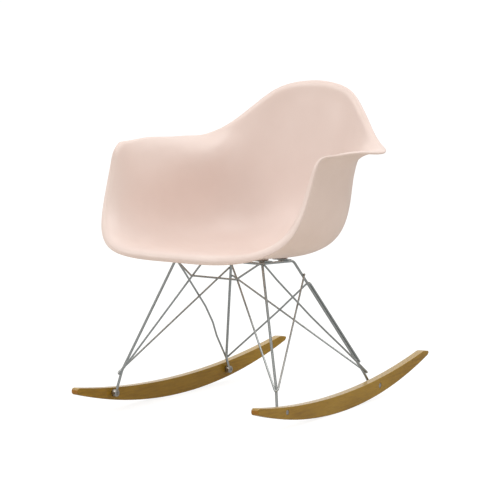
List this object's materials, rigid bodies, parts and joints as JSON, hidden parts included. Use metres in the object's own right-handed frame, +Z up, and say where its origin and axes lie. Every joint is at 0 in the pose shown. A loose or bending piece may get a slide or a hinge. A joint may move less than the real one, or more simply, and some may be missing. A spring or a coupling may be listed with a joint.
{
  "type": "rocking chair",
  "caption": "Moulded plastic armchair shell on a welded steel wire base with wooden rockers, one fixed assembly that rocks on its curved undersides.",
  "frame": {"origin": "on the floor, at the middle of the chair's overall length and width", "axes": "+Z up, -Y the way the sitter faces, +X the sitter's left"},
  "size_m": [0.6274, 0.8004, 0.7555],
  "materials": {
    "shell_plastic": "pale pink moulded polypropylene, fine eggshell texture",
    "rod_steel": "satin chrome-plated steel rod and pressed steel",
    "rocker_wood": "clear-lacquered honey maple",
    "insert_brass": "turned brass",
    "pad_rubber": "black rubber",
    "fastener_steel": "zinc-plated steel"
  },
  "bodies": {
    "root": {"seat_shell": "shell_plastic", "left_side_rod": "rod_steel", "right_side_rod": "rod_steel", "left_front_leg": "rod_steel", "right_front_leg": "rod_steel", "front_cross_rod": "rod_steel", "front_cross_wire": "rod_steel", "left_side_brace": "rod_steel", "right_side_brace": "rod_steel", "left_cross_brace": "rod_steel", "right_cross_brace": "rod_steel", "left_front_mount_plate": "rod_steel", "right_front_mount_plate": "rod_steel", "left_rear_mount_plate": "rod_steel", "right_rear_mount_plate": "rod_steel", "left_front_foot_barrel": "rod_steel", "right_front_foot_barrel": "rod_steel", "left_rear_foot_barrel": "rod_steel", "right_rear_foot_barrel": "rod_steel", "left_rocker": "rocker_wood", "right_rocker": "rocker_wood", "shell_inserts": "insert_brass", "isolation_pads": "pad_rubber", "shell_screws": "fastener_steel", "shell_screw_washers": "fastener_steel", "rocker_bolts": "fastener_steel"}
  },
  "joints": []
}
